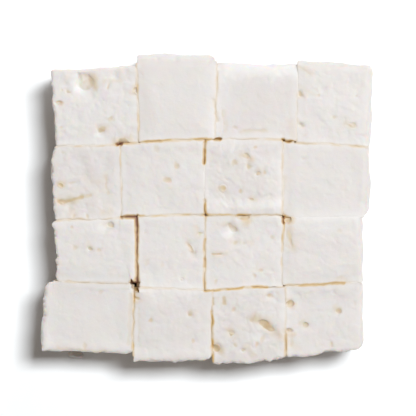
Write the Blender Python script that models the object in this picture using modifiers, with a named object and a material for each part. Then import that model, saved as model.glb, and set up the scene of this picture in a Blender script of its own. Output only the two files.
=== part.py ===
"""White brined cheese: one slab cut into sixteen cubes that still stand together.

Four rows of four cubes, a to d from the back (+Y) to the front, 1 to 4 from the
left (-X) to the right.  The knife wandered a little and the cubes slipped on the
board, so no two are alike.  The tables are in millimetres, Blender is in metres,
+Z is up, and the origin is on the board under the middle of the block.
"""

import math

import bmesh
import bpy
from mathutils import Matrix, Vector

MM = 0.001

# How high the cubes stand, before each one's own lift and tilt.
CUBE_HEIGHT = 19.6

# Rounding of the edges: rims that face a neighbour are nearly sharp, rims on the
# outside of the block are worn, and the foot is pressed flat on the board.
SEAM_RIM = 0.25
OUTER_RIM = 0.6
SEAM_CORNER = 0.5
OUTER_CORNER = 0.8
FOOT_EDGE = 0.3
ROUND_STEPS = 3

# Hollows left by whey and gas: fineness of the ellipsoids that cut them, and how
# far their middles stand above the face, as a share of their depth.
HOLLOW_SEGMENTS = 14
HOLLOW_RINGS = 9
HOLLOW_RISE = 0.12

# Plan of each cube: south-west, south-east, north-east and north-west corners.
PLAN = {
    "a1": ((-37.8, 15.8), (-17.3, 16.6), (-17.9, 35.7), (-38.9, 34.6)),
    "a2": ((-16.8, 17.0), (1.7, 17.8), (2.2, 38.8), (-17.5, 39.2)),
    "a3": ((2.1, 17.8), (22.1, 17.5), (22.6, 36.4), (2.6, 36.3)),
    "a4": ((22.6, 16.7), (40.8, 15.6), (41.9, 35.7), (23.1, 37.3)),
    "b1": ((-38.5, -2.6), (-21.7, -2.2), (-21.9, 15.5), (-38.6, 15.4)),
    "b2": ((-21.2, -1.8), (-0.8, -1.1), (-0.9, 17.3), (-21.3, 16.1)),
    "b3": ((-0.4, -1.3), (18.5, -1.5), (18.8, 17.0), (-0.5, 17.2)),
    "b4": ((18.9, -1.8), (40.5, -1.9), (40.8, 15.2), (19.2, 16.4)),
    "c1": ((-37.9, -17.9), (-18.1, -18.6), (-18.1, -2.6), (-38.1, -3.1)),
    "c2": ((-17.3, -19.6), (-0.8, -19.9), (-0.8, -1.6), (-17.2, -2.1)),
    "c3": ((-0.3, -20.2), (18.7, -19.1), (18.8, -1.9), (-0.4, -1.7)),
    "c4": ((19.1, -18.9), (39.2, -18.3), (38.7, -2.4), (19.2, -2.2)),
    "d1": ((-41.4, -35.6), (-18.9, -36.2), (-19.0, -19.2), (-40.6, -18.3)),
    "d2": ((-18.4, -38.1), (1.2, -38.1), (1.1, -20.5), (-17.9, -20.1)),
    "d3": ((1.7, -38.9), (19.7, -37.8), (19.2, -19.6), (1.6, -20.7)),
    "d4": ((20.2, -37.2), (39.2, -35.1), (39.1, -18.8), (19.7, -19.4)),
}
CORNERS = ("sw", "se", "ne", "nw")

# Each cube's top: its lift over CUBE_HEIGHT, then its rise to the east and north.
TOP = {
    "a1": (0.0, -0.2, 0.1),
    "a2": (0.3, 0.1, -0.3),
    "a3": (-0.1, 0.2, 0.0),
    "a4": (0.2, 0.3, 0.2),
    "b1": (-0.3, -0.1, -0.1),
    "b2": (0.1, 0.1, 0.2),
    "b3": (0.3, 0.0, -0.2),
    "b4": (-0.1, 0.2, 0.1),
    "c1": (0.1, 0.1, -0.1),
    "c2": (-0.3, 0.0, 0.2),
    "c3": (0.0, -0.2, 0.1),
    "c4": (0.2, 0.1, 0.0),
    "d1": (-0.4, 0.2, -0.2),
    "d2": (0.1, -0.1, 0.1),
    "d3": (-0.1, 0.1, 0.2),
    "d4": (-0.3, 0.2, -0.1),
}

# Rims and corners that are rounder than the rest, by cube and side.
SOFT_RIMS = {
    ("a2", "north"): 3.0,
    ("a3", "north"): 1.8,
    ("a4", "north"): 1.3,
    ("a4", "east"): 1.6,
    ("b4", "east"): 1.5,
    ("c4", "east"): 1.3,
    ("d1", "west"): 0.8,
    ("d1", "south"): 0.8,
    ("d4", "east"): 1.3,
}
SOFT_CORNERS = {
    ("a2", "nw"): 1.3,
    ("a2", "ne"): 1.7,
    ("a4", "ne"): 1.6,
    ("b4", "se"): 2.0,
    ("d1", "nw"): 2.0,
    ("d2", "se"): 1.9,
    ("d4", "se"): 1.8,
}

# Hollows in the tops: cube, middle x and y, width, length, depth, turn in degrees.
HOLLOWS = (
    ("a1", -30.5, 31.6, 5.0, 4.4, 1.1, 20),
    ("a1", -34.6, 29.2, 1.8, 2.0, 0.7, 0),
    ("a1", -23.0, 33.0, 1.2, 3.0, 0.5, 5),
    ("a1", -37.2, 26.1, 1.7, 1.5, 1.3, 0),
    ("a1", -26.2, 19.6, 2.6, 2.2, 0.9, 30),
    ("a1", -21.0, 16.7, 3.6, 2.0, 1.3, -6),
    ("a1", -18.1, 29.6, 1.5, 2.2, 0.9, 0),
    ("a4", 23.5, 28.9, 1.8, 2.2, 0.7, 20),
    ("a4", 36.4, 20.8, 2.6, 1.8, 0.8, -25),
    ("a4", 24.0, 21.1, 1.4, 1.6, 0.5, 0),
    ("b1", -36.7, 5.9, 1.4, 1.3, 1.2, 0),
    ("b1", -36.2, 1.6, 1.9, 1.4, 1.2, 15),
    ("b3", 10.0, 12.9, 2.1, 1.8, 0.9, -20),
    ("b3", 13.0, 8.6, 1.6, 1.5, 0.8, 0),
    ("b3", 4.2, 4.9, 1.8, 1.6, 0.9, 30),
    ("b3", 11.2, 2.6, 1.4, 1.2, 0.9, 0),
    ("c1", -24.2, -4.2, 2.1, 1.4, 0.9, -10),
    ("c1", -29.2, -10.1, 1.4, 1.2, 0.8, 0),
    ("c2", -2.0, -6.1, 1.6, 1.5, 0.9, 0),
    ("c2", -4.0, -10.0, 1.3, 3.2, 0.9, 40),
    ("c2", -6.2, -17.6, 1.4, 1.2, 0.8, 0),
    ("c3", 6.2, -5.1, 3.0, 2.4, 0.8, -30),
    ("c3", 9.0, -2.3, 4.0, 1.8, 0.9, 0),
    ("c3", 2.6, -11.6, 3.6, 1.0, 0.9, 0),
    ("c4", 20.2, -2.9, 2.0, 1.8, 1.5, 0),
    ("c4", 20.8, -7.6, 1.3, 5.4, 0.6, 17),
    ("d2", -17.3, -22.5, 1.5, 1.4, 1.0, 0),
    ("d3", 6.0, -31.4, 1.9, 1.7, 1.0, 0),
    ("d3", 15.2, -29.4, 5.6, 2.3, 1.1, -28),
    ("d3", 2.5, -34.9, 2.6, 2.3, 1.2, 0),
    ("d3", 9.0, -35.4, 1.4, 1.2, 0.9, 0),
    ("d4", 20.7, -23.9, 2.0, 2.1, 1.0, 0),
    ("d4", 32.8, -25.6, 1.6, 1.5, 0.9, 0),
    ("d4", 24.5, -29.4, 1.8, 1.6, 0.9, 0),
    ("d4", 20.6, -30.7, 2.0, 1.2, 1.0, 0),
)


def clear_scene():
    """Remove the objects that a new file starts with."""
    for obj in list(bpy.data.objects):
        bpy.data.objects.remove(obj, do_unlink=True)


def new_collection(name):
    collection = bpy.data.collections.new(name)
    bpy.context.scene.collection.children.link(collection)
    return collection


def cheese_material():
    """Fresh white curd: nearly white, a little warm, damp but not glossy."""
    material = bpy.data.materials.new("white_cheese")
    material.use_nodes = True
    shader = material.node_tree.nodes["Principled BSDF"]
    shader.inputs["Base Color"].default_value = (0.86, 0.83, 0.77, 1.0)
    shader.inputs["Roughness"].default_value = 0.55
    shader.inputs["Metallic"].default_value = 0.0
    return material


def middle_of(name):
    """The middle of a cube's plan, which is also its object's origin."""
    return sum((Vector(corner) for corner in PLAN[name]), Vector((0, 0))) / len(CORNERS)


def top_height(name, x, y):
    """Height of a cube's tilted top over the board, at a point of the plan."""
    lift, rise_east, rise_north = TOP[name]
    from_middle = Vector((x, y)) - middle_of(name)
    tilt = (rise_east * from_middle.x + rise_north * from_middle.y) / CUBE_HEIGHT
    return CUBE_HEIGHT + lift + tilt


def outer_sides(name):
    """The sides of a cube that no neighbour covers."""
    row, column = name
    edges = {"north": row == "a", "south": row == "d", "west": column == "1", "east": column == "4"}
    return {side for side, is_outer in edges.items() if is_outer}


def side_of(first, second):
    """Name the side of the plan that joins two of its corners."""
    sides = {"sw se": "south", "se ne": "east", "ne nw": "north", "nw sw": "west"}
    return sides.get(f"{first} {second}") or sides[f"{second} {first}"]


def touches(side, corner):
    """Whether a corner of the plan ends a side: north and south ends are named first."""
    return side[0] in corner


def edge_rounding(name, ends):
    """Rounding in millimetres of the edge between two (corner, is_top) ends."""
    (first, first_top), (second, second_top) = ends
    if first == second:
        is_outer = any(touches(side, first) for side in outer_sides(name))
        usual = OUTER_CORNER if is_outer else SEAM_CORNER
        return SOFT_CORNERS.get((name, first), usual)
    if not (first_top and second_top):
        return FOOT_EDGE
    side = side_of(first, second)
    usual = OUTER_RIM if side in outer_sides(name) else SEAM_RIM
    return SOFT_RIMS.get((name, side), usual)


def corner_of(point):
    """Name the plan corner that a vertex of the unit cube becomes."""
    return ("n" if point.y > 0 else "s") + ("e" if point.x > 0 else "w")


def cheese_cube(name, material, collection):
    """One cube: a primitive with its corners moved to the plan, and rounded edges."""
    middle = middle_of(name)
    bm = bmesh.new()
    bmesh.ops.create_cube(bm, size=1.0)
    ends = {vert: (corner_of(vert.co), vert.co.z > 0) for vert in bm.verts}
    widest = max([OUTER_RIM, *SOFT_RIMS.values(), *SOFT_CORNERS.values()])
    weights = bm.edges.layers.float.new("bevel_weight_edge")
    for edge in bm.edges:
        edge[weights] = edge_rounding(name, [ends[vert] for vert in edge.verts]) / widest
    for vert, (corner, is_top) in ends.items():
        x, y = PLAN[name][CORNERS.index(corner)]
        z = top_height(name, x, y) if is_top else 0.0
        vert.co = Vector((x - middle.x, y - middle.y, z)) * MM
    mesh = bpy.data.meshes.new(f"cube_{name}")
    bm.to_mesh(mesh)
    bm.free()
    mesh.materials.append(material)
    cube = bpy.data.objects.new(f"cube_{name}", mesh)
    cube.location = (middle.x * MM, middle.y * MM, 0.0)
    collection.objects.link(cube)
    rounding = cube.modifiers.new("rounded edges", "BEVEL")
    rounding.limit_method = "WEIGHT"
    rounding.width = widest * MM
    rounding.segments = ROUND_STEPS
    return cube


def cut_hollow(cube, hollow, number, collection):
    """Scoop one ellipsoid hollow out of a cube's top."""
    name, x, y, width, length, depth, turn = hollow
    bm = bmesh.new()
    bmesh.ops.create_uvsphere(bm, u_segments=HOLLOW_SEGMENTS, v_segments=HOLLOW_RINGS, radius=MM)
    bmesh.ops.scale(bm, verts=bm.verts, vec=(width / 2, length / 2, depth))
    turned = Matrix.Rotation(math.radians(turn), 4, "Z")
    bmesh.ops.transform(bm, verts=bm.verts, matrix=turned)
    mesh = bpy.data.meshes.new(f"hollow_{number}")
    bm.to_mesh(mesh)
    bm.free()
    cutter = bpy.data.objects.new(f"hollow_{number}", mesh)
    cutter.location = Vector((x, y, top_height(name, x, y) + HOLLOW_RISE * depth)) * MM
    cutter.hide_render = True
    cutter.display_type = "WIRE"
    collection.objects.link(cutter)
    cut = cube.modifiers.new(f"hollow {number}", "BOOLEAN")
    cut.operation = "DIFFERENCE"
    cut.object = cutter


def build():
    clear_scene()
    block = new_collection("white_cheese_block")
    cutters = new_collection("hollow_cutters")
    material = cheese_material()
    cubes = {name: cheese_cube(name, material, block) for name in PLAN}
    for number, hollow in enumerate(HOLLOWS, start=1):
        cut_hollow(cubes[hollow[0]], hollow, number, cutters)


build()
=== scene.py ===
# %% [markdown]
# # A block of white cheese, cut into sixteen cubes
# Brined white cheese is curd that was drained in a mould, pressed a little and left in salt
# water. It is dense and damp, it breaks into crumbs along every cut, and it keeps small holes
# where whey and gas were caught. Here a knife has gone through it three times each way, and
# the cubes stand where they were cut.
#
# This lesson starts from sixteen plain solids of the right size and turns each one into
# cheese: a fine skin, gentle relief, hollows, cracks, crumbled rims, and cuts that close
# below the surface. Then come the curd's finish, the board, the light and the camera.

# %% Start from the solids
import math

import bmesh
import bpy
import numpy as np
from mathutils import Matrix, Vector
from mathutils.bvhtree import BVHTree


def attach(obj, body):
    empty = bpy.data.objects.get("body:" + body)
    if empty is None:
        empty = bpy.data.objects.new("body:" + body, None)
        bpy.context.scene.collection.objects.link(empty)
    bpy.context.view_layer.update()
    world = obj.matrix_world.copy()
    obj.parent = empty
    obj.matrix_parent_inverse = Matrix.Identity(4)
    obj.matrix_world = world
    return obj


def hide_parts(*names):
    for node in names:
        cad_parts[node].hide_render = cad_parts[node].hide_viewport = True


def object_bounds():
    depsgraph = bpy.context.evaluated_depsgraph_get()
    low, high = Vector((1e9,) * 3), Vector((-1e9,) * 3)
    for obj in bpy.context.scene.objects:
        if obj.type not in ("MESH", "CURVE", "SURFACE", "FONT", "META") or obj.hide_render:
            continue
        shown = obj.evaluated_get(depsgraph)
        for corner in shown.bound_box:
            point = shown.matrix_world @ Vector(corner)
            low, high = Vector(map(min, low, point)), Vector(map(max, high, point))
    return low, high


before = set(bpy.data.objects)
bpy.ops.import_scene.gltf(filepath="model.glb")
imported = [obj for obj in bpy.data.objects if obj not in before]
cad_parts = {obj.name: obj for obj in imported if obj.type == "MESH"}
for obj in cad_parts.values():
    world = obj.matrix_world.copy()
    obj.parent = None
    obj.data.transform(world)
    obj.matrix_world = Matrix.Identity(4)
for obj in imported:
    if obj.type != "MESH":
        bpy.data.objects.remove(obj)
cad_low, cad_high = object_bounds()
box = [round(side * 1000, 1) for side in cad_high - cad_low]
print("solids:", len(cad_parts), "in a box of", box, "mm")

# %% [markdown]
# ## Working in millimetres
# Every size below is in millimetres, because that is how a cheese cutter thinks of holes and
# crumbs. Each solid is copied, made a thousand times larger, and shrunk again at the end.
# The copy's corners are welded, since a file format for display splits them at sharp edges.
# The cubes are named by row and place: a is the back row and d the front one, and 1 to 4 run
# from left to right.

# %% Copy the solids in millimetres
MM = 0.001
WELD = 0.0001


def copy_in_mm(node):
    """A welded copy of a solid's mesh, in millimetres."""
    bm = bmesh.new()
    bm.from_mesh(node.data)
    bmesh.ops.scale(bm, verts=bm.verts, vec=(1 / MM, 1 / MM, 1 / MM))
    bmesh.ops.remove_doubles(bm, verts=bm.verts, dist=WELD)
    mesh = bpy.data.meshes.new(f"{node.name}_mm")
    bm.to_mesh(mesh)
    bm.free()
    return mesh


solids = {name.removeprefix("cube_"): copy_in_mm(node) for name, node in sorted(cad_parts.items())}
print("copied:", ", ".join(solids))

# %% [markdown]
# ## The walls, seen from above
# What happens to a point of the cheese depends on where it is: on the top, near a rim, in a
# cut, or on an outside wall. From above, each solid is four straight walls. Which way each
# wall faces and how far out it stands is read from the solid once, and is enough to tell, for
# thousands of points at a time, how deep inside its cube a point lies and how wide the gap
# to the next cube is.

# %% Read the walls and the top of each solid
# a face is upright or flat when its normal's z is this near to 0 or to 1
UPRIGHT = 0.001
FLAT = 0.998
# a cube's top lies within this much of its highest point
TOP_BAND = 0.5
# how far past its corner a cube is still beside another, and over what distance levels blend
BESIDE = 0.7
LEVEL_BLEND = 3.0
# stands for the gap where there is no next cube
FAR = 99.0


def walls_of(solid):
    """A solid's four walls from above: which way each faces, and how far out it stands."""
    upright = {}
    for face in solid.polygons:
        if abs(face.normal.z) < UPRIGHT:
            facing = (round(face.normal.x, 3), round(face.normal.y, 3))
            upright.setdefault(facing, []).append(face)
    largest = sorted(upright.values(), key=lambda faces: sum(face.area for face in faces))[-4:]
    facing = np.array([faces[0].normal.xy for faces in largest])
    reach = [max(face.center.xy.dot(faces[0].normal.xy) for face in faces) for faces in largest]
    return facing, np.array(reach)


def top_of(solid):
    """The slopes and height of a cube's flat top, as z = a x + b y + c."""
    highest = max(vert.co.z for vert in solid.vertices)
    level = [face for face in solid.polygons if face.normal.z > FLAT]
    flat = [face for face in level if face.center.z > highest - TOP_BAND]
    rims = np.array([solid.vertices[v].co for face in flat for v in face.vertices])
    return np.linalg.lstsq(np.c_[rims[:, :2], np.ones(len(rims))], rims[:, 2], rcond=None)[0]


def hull_of(solid):
    """A search tree over a solid with its hollows filled in."""
    bm = bmesh.new()
    for vert in solid.vertices:
        bm.verts.new(vert.co)
    bmesh.ops.convex_hull(bm, input=bm.verts)
    tree = BVHTree.FromBMesh(bm)
    bm.free()
    return tree


def side_name(direction):
    """The name of the side that a wall faces."""
    if abs(direction[0]) > abs(direction[1]):
        return "east" if direction[0] > 0 else "west"
    return "north" if direction[1] > 0 else "south"


walls = {name: walls_of(solid) for name, solid in solids.items()}
tops = {name: top_of(solid) for name, solid in solids.items()}


def depth_below_top(name, points):
    """How far each point is below its cube's flat top."""
    slope_x, slope_y, level = tops[name]
    return slope_x * points[:, 0] + slope_y * points[:, 1] + level - points[:, 2]


def inset_from_walls(name, points):
    """How far each point is inside each of its cube's four walls."""
    facing, reach = walls[name]
    return reach - points[:, :2] @ facing.T


def next_cubes(name, points):
    """The gap to the next cube beyond each of the four walls, and how much higher that cube is."""
    inset = inset_from_walls(name, points)
    depth = depth_below_top(name, points)
    gap = np.full(inset.shape, FAR)
    rise, share = np.zeros(inset.shape), np.zeros(inset.shape)
    for other in solids:
        if other == name:
            continue
        other_facing, _ = walls[other]
        clear = inset_from_walls(other, points)
        higher = depth_below_top(other, points) - depth
        for i, direction in enumerate(walls[name][0]):
            turned = other_facing @ direction
            entry = np.argmin(turned)
            way = clear[:, entry] / turned[entry]
            beside = -clear[:, np.abs(turned) < 0.5].min(axis=1)
            between = np.where((beside < BESIDE) & (way > -1), way - inset[:, i], FAR)
            gap[:, i] = np.minimum(gap[:, i], between)
            off = np.abs(way - inset[:, i])
            level_with = np.clip(0.5 - beside / LEVEL_BLEND, 0, 1) * np.clip(LEVEL_BLEND - off, 0, 1)
            rise[:, i] += level_with * higher
            share[:, i] += level_with
    return gap, rise / np.maximum(share, 1)


across = np.mean([np.sum(reach) / 2 for _, reach in walls.values()])
print("a cube from wall to wall:", round(float(across), 2), "mm")

# %% [markdown]
# ## Smooth steps
# Nothing in cheese starts or stops at a line, so every effect below fades in and out.

# %% Fade between two values
def fade(low, high, values):
    """0 at `low`, 1 at `high`, and a smooth rise between them."""
    share = np.clip((values - low) / (high - low), 0, 1)
    return share * share * (3 - 2 * share)


print("a fade from 0 to 4, at 0, 1, 2 and 4:", fade(0, 4, np.array([0, 1, 2, 4])))

# %% [markdown]
# ## A fine skin to sculpt
# The solids are made of large flat faces, and cheese needs thousands of small ones. Subdividing
# would keep their uneven triangles. A voxel remesh gives squares of one size all over, round
# the rims and down into the hollows, so every later step can move its points freely. The
# walls deep in the cuts and the underside are never seen, so there a decimation takes most
# of the squares away again.

# %% Give each cube a fine skin
SKIN = 0.2
# a point is hidden this deep in a cut this narrow, or this low and this far from the walls
HIDDEN_DEPTH = 4.0
HIDDEN_GAP = 1.5
HIDDEN_HEIGHT = 0.2
HIDDEN_INSET = 1.0
HIDDEN_KEEP = 0.04


def put_in_scene(name, data):
    """A new object made of `data`, in the scene."""
    thing = bpy.data.objects.new(name, data)
    bpy.context.scene.collection.objects.link(thing)
    return thing


def rows_of(elements, key):
    """The x, y and z that a mesh keeps for each of its points, as rows."""
    flat = np.empty(len(elements) * 3, np.float32)
    elements.foreach_get(key, flat)
    return flat.reshape(-1, 3).astype(float)


def hidden_points(name, points):
    """Which points lie deep in a cut or on the underside."""
    inset = inset_from_walls(name, points)
    nearest = inset.argmin(axis=1)[:, None]
    gap, _ = next_cubes(name, points)
    gap = np.take_along_axis(gap, nearest, axis=1)[:, 0]
    inset = np.take_along_axis(inset, nearest, axis=1)[:, 0]
    in_cut = (gap < HIDDEN_GAP) & (depth_below_top(name, points) > HIDDEN_DEPTH)
    underneath = (points[:, 2] < HIDDEN_HEIGHT) & (inset > HIDDEN_INSET)
    return in_cut | underneath


def modified(carrier):
    """A new mesh: the carrier's own, after its modifiers."""
    graph = bpy.context.evaluated_depsgraph_get()
    return bpy.data.meshes.new_from_object(carrier.evaluated_get(graph))


def fine_skin(name):
    """A skin of small squares over a solid, with fewer of them where nothing is seen."""
    carrier = put_in_scene("carrier", solids[name])
    remesh = carrier.modifiers.new("squares", "REMESH")
    remesh.mode = "VOXEL"
    remesh.voxel_size = SKIN
    smooth = carrier.modifiers.new("softened", "SMOOTH")
    smooth.iterations = 1
    made = modified(carrier)
    carrier.modifiers.clear()
    carrier.data = made
    hidden = np.flatnonzero(hidden_points(name, rows_of(made.vertices, "co")))
    group = carrier.vertex_groups.new(name="hidden")
    group.add(hidden.tolist(), 1.0, "REPLACE")
    fewer = carrier.modifiers.new("fewer", "DECIMATE")
    fewer.ratio = 1 - (1 - HIDDEN_KEEP) * len(hidden) / len(made.vertices)
    fewer.vertex_group = "hidden"
    fewer.vertex_group_factor = 1.0
    skin = modified(carrier)
    bpy.data.objects.remove(carrier)
    bpy.data.meshes.remove(made)
    return skin


print("a skin of squares", SKIN, "mm wide")

# %% [markdown]
# ## Random lumps
# Curd is uneven at every size, but never jagged. A table of random numbers, read between its
# entries with a smooth blend, gives soft lumps of any width. It is quick, because numpy reads
# it for all the points of a mesh at once, and it is the same each time, because it is seeded.
# Each table is turned at random, so that its rows never line up with the cubes.

# %% Make soft random lumps
TABLE_SIDE = 32


def lumps(points, width, seed):
    """A smooth random value from -1 to 1 at each point, in lumps about `width` across."""
    chance = np.random.default_rng(seed)
    table = chance.uniform(-1, 1, (TABLE_SIDE,) * 3)
    turned, _ = np.linalg.qr(chance.normal(size=(3, 3)))
    place = points @ turned / width
    cell = np.floor(place).astype(int)
    near = place - cell
    near = near * near * (3 - 2 * near)
    total = np.zeros(len(points))
    for corner in np.ndindex(2, 2, 2):
        share = np.prod(np.where(corner, near, 1 - near), axis=1)
        x, y, z = ((cell + corner) % TABLE_SIDE).T
        total += share * table[x, y, z]
    return total


def grains(points, sizes, seed):
    """Lumps of several sizes added up. Each size is a width and a height."""
    return sum(height * lumps(points, width, seed + i) for i, (width, height) in enumerate(sizes))


print("random numbers in a table:", TABLE_SIDE**3)

# %% [markdown]
# ## One cube's points
# While a cube is sculpted, its points and what is known about them are kept together: how
# deep each lies below the top, how far inside each wall, whether it is in a hollow, how
# stained and painted with shade it is, and how pale, painted highlight included. The places
# are measured before anything moves, so each step knows where a point belongs, whatever the
# steps before it have done.

# %% Keep a cube's points and their measures together
# the gaps over which a cut fades out, and over which a wall becomes an outside one
CUT_GAP = (1.2, 1.8)
OPEN_GAP = (1.4, 2.4)
# a wall's own marks fade in over this depth below the rim
BELOW_RIM = (0.6, 2.0)
# hollows lie between these depths, and this far in from the walls
HOLLOW_DEPTHS = (0.1, 4.0)
HOLLOW_EDGE = 0.1
# each cube's random numbers start this far from the last one's
SEEDS_APART = 100


class Curd:
    """The skin of one cube: its points, and where each of them lies."""

    def __init__(self, name):
        self.name = name
        self.seed = SEEDS_APART * list(solids).index(name)
        self.skin = fine_skin(name)
        self.points = rows_of(self.skin.vertices, "co")
        self.start = self.points.copy()
        self.normal = rows_of(self.skin.vertex_normals, "vector")
        self.depth = depth_below_top(name, self.start)
        self.walls = walls[name][0]
        self.inset = inset_from_walls(name, self.start)
        self.gap, self.rise = next_cubes(name, self.start)
        self.edge = self.inset.min(axis=1)
        self.is_cut = 1 - fade(*CUT_GAP, self.gap)
        nearest = self.inset.argmin(axis=1)[:, None]
        outside = fade(*OPEN_GAP, np.take_along_axis(self.gap, nearest, axis=1)[:, 0])
        self.on_wall = outside * fade(*BELOW_RIM, self.depth)
        self.hollow = self.measure_hollows(hull_of(solids[name]))
        self.in_hollow = fade(0.15, 0.4, self.hollow)
        self.stain_and_shade = np.zeros(len(self.points))
        self.pale = np.zeros(len(self.points))

    def measure_hollows(self, hull):
        """How deep in a hollow each point lies, which is its distance from the filled-in solid."""
        hollow = np.zeros(len(self.points))
        shallowest, deepest = HOLLOW_DEPTHS
        in_reach = (self.depth > shallowest) & (self.depth < deepest) & (self.edge > HOLLOW_EDGE)
        for i in np.flatnonzero(in_reach):
            hollow[i] = hull.find_nearest(Vector(self.points[i]))[3]
        return hollow

    def push(self, amount):
        """Move the points out along the skin's own direction."""
        self.points += self.normal * amount[:, None]

    def sink(self, amount):
        """Move the points straight down."""
        self.points[:, 2] -= amount

    def push_walls(self, amounts):
        """Move the points out along the walls, by an amount for each of the four."""
        self.points[:, :2] += amounts @ self.walls


print("cubes to sculpt:", len(solids))

# %% [markdown]
# ## Relief
# The cut faces look flat, yet light shows soft waves a few millimetres long and only
# hundredths of a millimetre deep. Some cubes come from denser curd and are nearly smooth,
# others are pocked and uneven. The waves are moved into the mesh, not faked by shading, so
# that they catch the light from every side.
#
# Cheesecloth and fingers wear some rims down: there the top slopes off over a few
# millimetres. Along a few others the knife has pushed the curd up into a low ridge.

# %% Raise the relief
UNEVEN = {
    "a1": 1.1, "a2": 0.5, "a3": 0.5, "a4": 0.9,
    "b1": 1.0, "b2": 0.75, "b3": 1.2, "b4": 0.6,
    "c1": 0.85, "c2": 0.7, "c3": 0.85, "c4": 0.7,
    "d1": 0.45, "d2": 0.75, "d3": 1.2, "d4": 0.8,
}
WAVES = ((9.0, 0.12), (3.6, 0.07), (1.7, 0.045), (0.8, 0.028))
OUTSIDE_WAVES = ((6.0, 0.35), (2.5, 0.15), (1.1, 0.06))
# how far each worn rim drops, and over what width
WORN = {
    ("a2", "north"): (0.35, 4.0), ("a2", "west"): (0.12, 2.0), ("a3", "north"): (0.50, 5.0),
    ("a4", "north"): (0.20, 2.5), ("a4", "west"): (0.16, 2.4), ("b2", "west"): (0.10, 2.0),
    ("b4", "west"): (0.40, 3.4), ("c3", "east"): (0.08, 5.0), ("c4", "west"): (0.18, 3.0),
}
# how high each ridge is, how far in from the rim it runs, and how wide it is
RIDGES = {
    ("b3", "south"): (0.26, 1.3, 1.7), ("d2", "south"): (0.16, 1.2, 2.2),
    ("d1", "west"): (0.14, 0.9, 1.3), ("d1", "south"): (0.12, 0.9, 1.6),
}


def shape_rims(curd):
    """Let the top slope off toward its worn rims, and swell into a ridge along others."""
    on_top = 1 - fade(0.5, 1.5, curd.depth)
    for i, direction in enumerate(curd.walls):
        side = (curd.name, side_name(direction))
        inset = np.clip(curd.inset[:, i], 0, None)
        drop, reach = WORN.get(side, (0, 1))
        curd.sink(drop * np.clip(1 - inset / reach, 0, 1) ** 2)
        height, middle, width = RIDGES.get(side, (0, 0, 1))
        curd.sink(-height * on_top * np.exp(-(((inset - middle) / width) ** 2)))


def raise_relief(curd):
    """Soft waves over the tops, and stronger ones on the outside walls."""
    curd.push(UNEVEN[curd.name] * grains(curd.start, WAVES, curd.seed))
    above_foot = fade(0.0, 2.0, curd.start[:, 2])
    curd.push(curd.on_wall * above_foot * grains(curd.start, OUTSIDE_WAVES, curd.seed + 10))


print("worn rims:", len(WORN), "and ridges:", len(RIDGES))

# %% [markdown]
# ## Hollows
# The largest holes are already in the solids, as clean dents. Real ones have torn, lumpy
# linings and crooked rims. So their surroundings are pulled about sideways, and their
# linings get grains of their own. The curd has also sagged back into most of them, and has
# nearly closed the two narrowest.

# %% Make the hollows crooked
CROOKED = ((3.0, 0.3), (1.3, 0.25))
LINING = ((1.6, 0.22), (0.8, 0.12))
# how much of a hollow's depth the sagging curd fills, and where the narrow ones are
FILLED = 0.7
NARROW_FILLED = 0.95
NARROW = ((-4.0, -10.0, 3.0), (20.8, -7.6, 4.0))


def roughen_hollows(curd):
    """Pull the hollows' rims about, and give their linings grain."""
    inner = fade(0.3, 1.6, curd.edge) * (1 - fade(2.5, 4.0, curd.depth))
    for axis in (0, 1):
        curd.points[:, axis] += inner * grains(curd.start, CROOKED, curd.seed + 20 + 5 * axis)
    curd.push(curd.in_hollow * grains(curd.start, LINING, curd.seed + 30))
    filled = np.full(len(curd.points), FILLED)
    for x, y, reach in NARROW:
        away = np.linalg.norm(curd.start[:, :2] - (x, y), axis=1)
        filled += (NARROW_FILLED - FILLED) * (1 - fade(0.7 * reach, reach, away))
    curd.sink(-filled * curd.hollow * (1 - fade(2.0, 3.5, curd.depth)))


print("hollows nearly closed:", len(NARROW))

# %% [markdown]
# ## Pinholes
# Between the large holes lie many small ones, half a millimetre to a millimetre across. They
# are the peaks of a random field: where it rises above a threshold, the skin sinks. A lower
# threshold gives more of them, which is how the open curd differs from the dense.

# %% Sink the pinholes
PINHOLE_SIZES = ((1.9, 0.20), (1.1, 0.10))
OPEN_CURD = {
    "a1": 0.3, "a2": 0.0, "a3": 0.0, "a4": 0.2,
    "b1": 0.3, "b2": 0.15, "b3": 0.5, "b4": 0.0,
    "c1": 0.2, "c2": 0.2, "c3": 0.3, "c4": 0.05,
    "d1": 0.0, "d2": 0.25, "d3": 0.8, "d4": 0.3,
}
OUTSIDE_OPEN = 0.9
# the threshold for the densest curd, how far open curd lowers it, and over what rise holes deepen
DENSE_THRESHOLD = 0.75
OPEN_LOWERS = 0.28
HOLE_RISE = 0.4


def sink_pinholes(curd):
    """Sink small holes into the top and the outside walls."""
    openness = OPEN_CURD[curd.name] * (1 - curd.on_wall) + OUTSIDE_OPEN * curd.on_wall
    threshold = DENSE_THRESHOLD - OPEN_LOWERS * openness
    total = np.zeros(len(curd.points))
    for i, (width, deepest) in enumerate(PINHOLE_SIZES):
        field = lumps(curd.start, width, curd.seed + 40 + i)
        total += deepest * fade(threshold, threshold + HOLE_RISE, field)
    total *= fade(*BELOW_RIM, curd.edge) * (1 - curd.on_wall) + curd.on_wall
    curd.push(-total)
    # the deeper a pinhole, the more tan: whey stain and painted shade in the hole
    curd.stain_and_shade += fade(0.04, 0.25, total)


print("the most open curd:", max(OPEN_CURD, key=OPEN_CURD.get))
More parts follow.
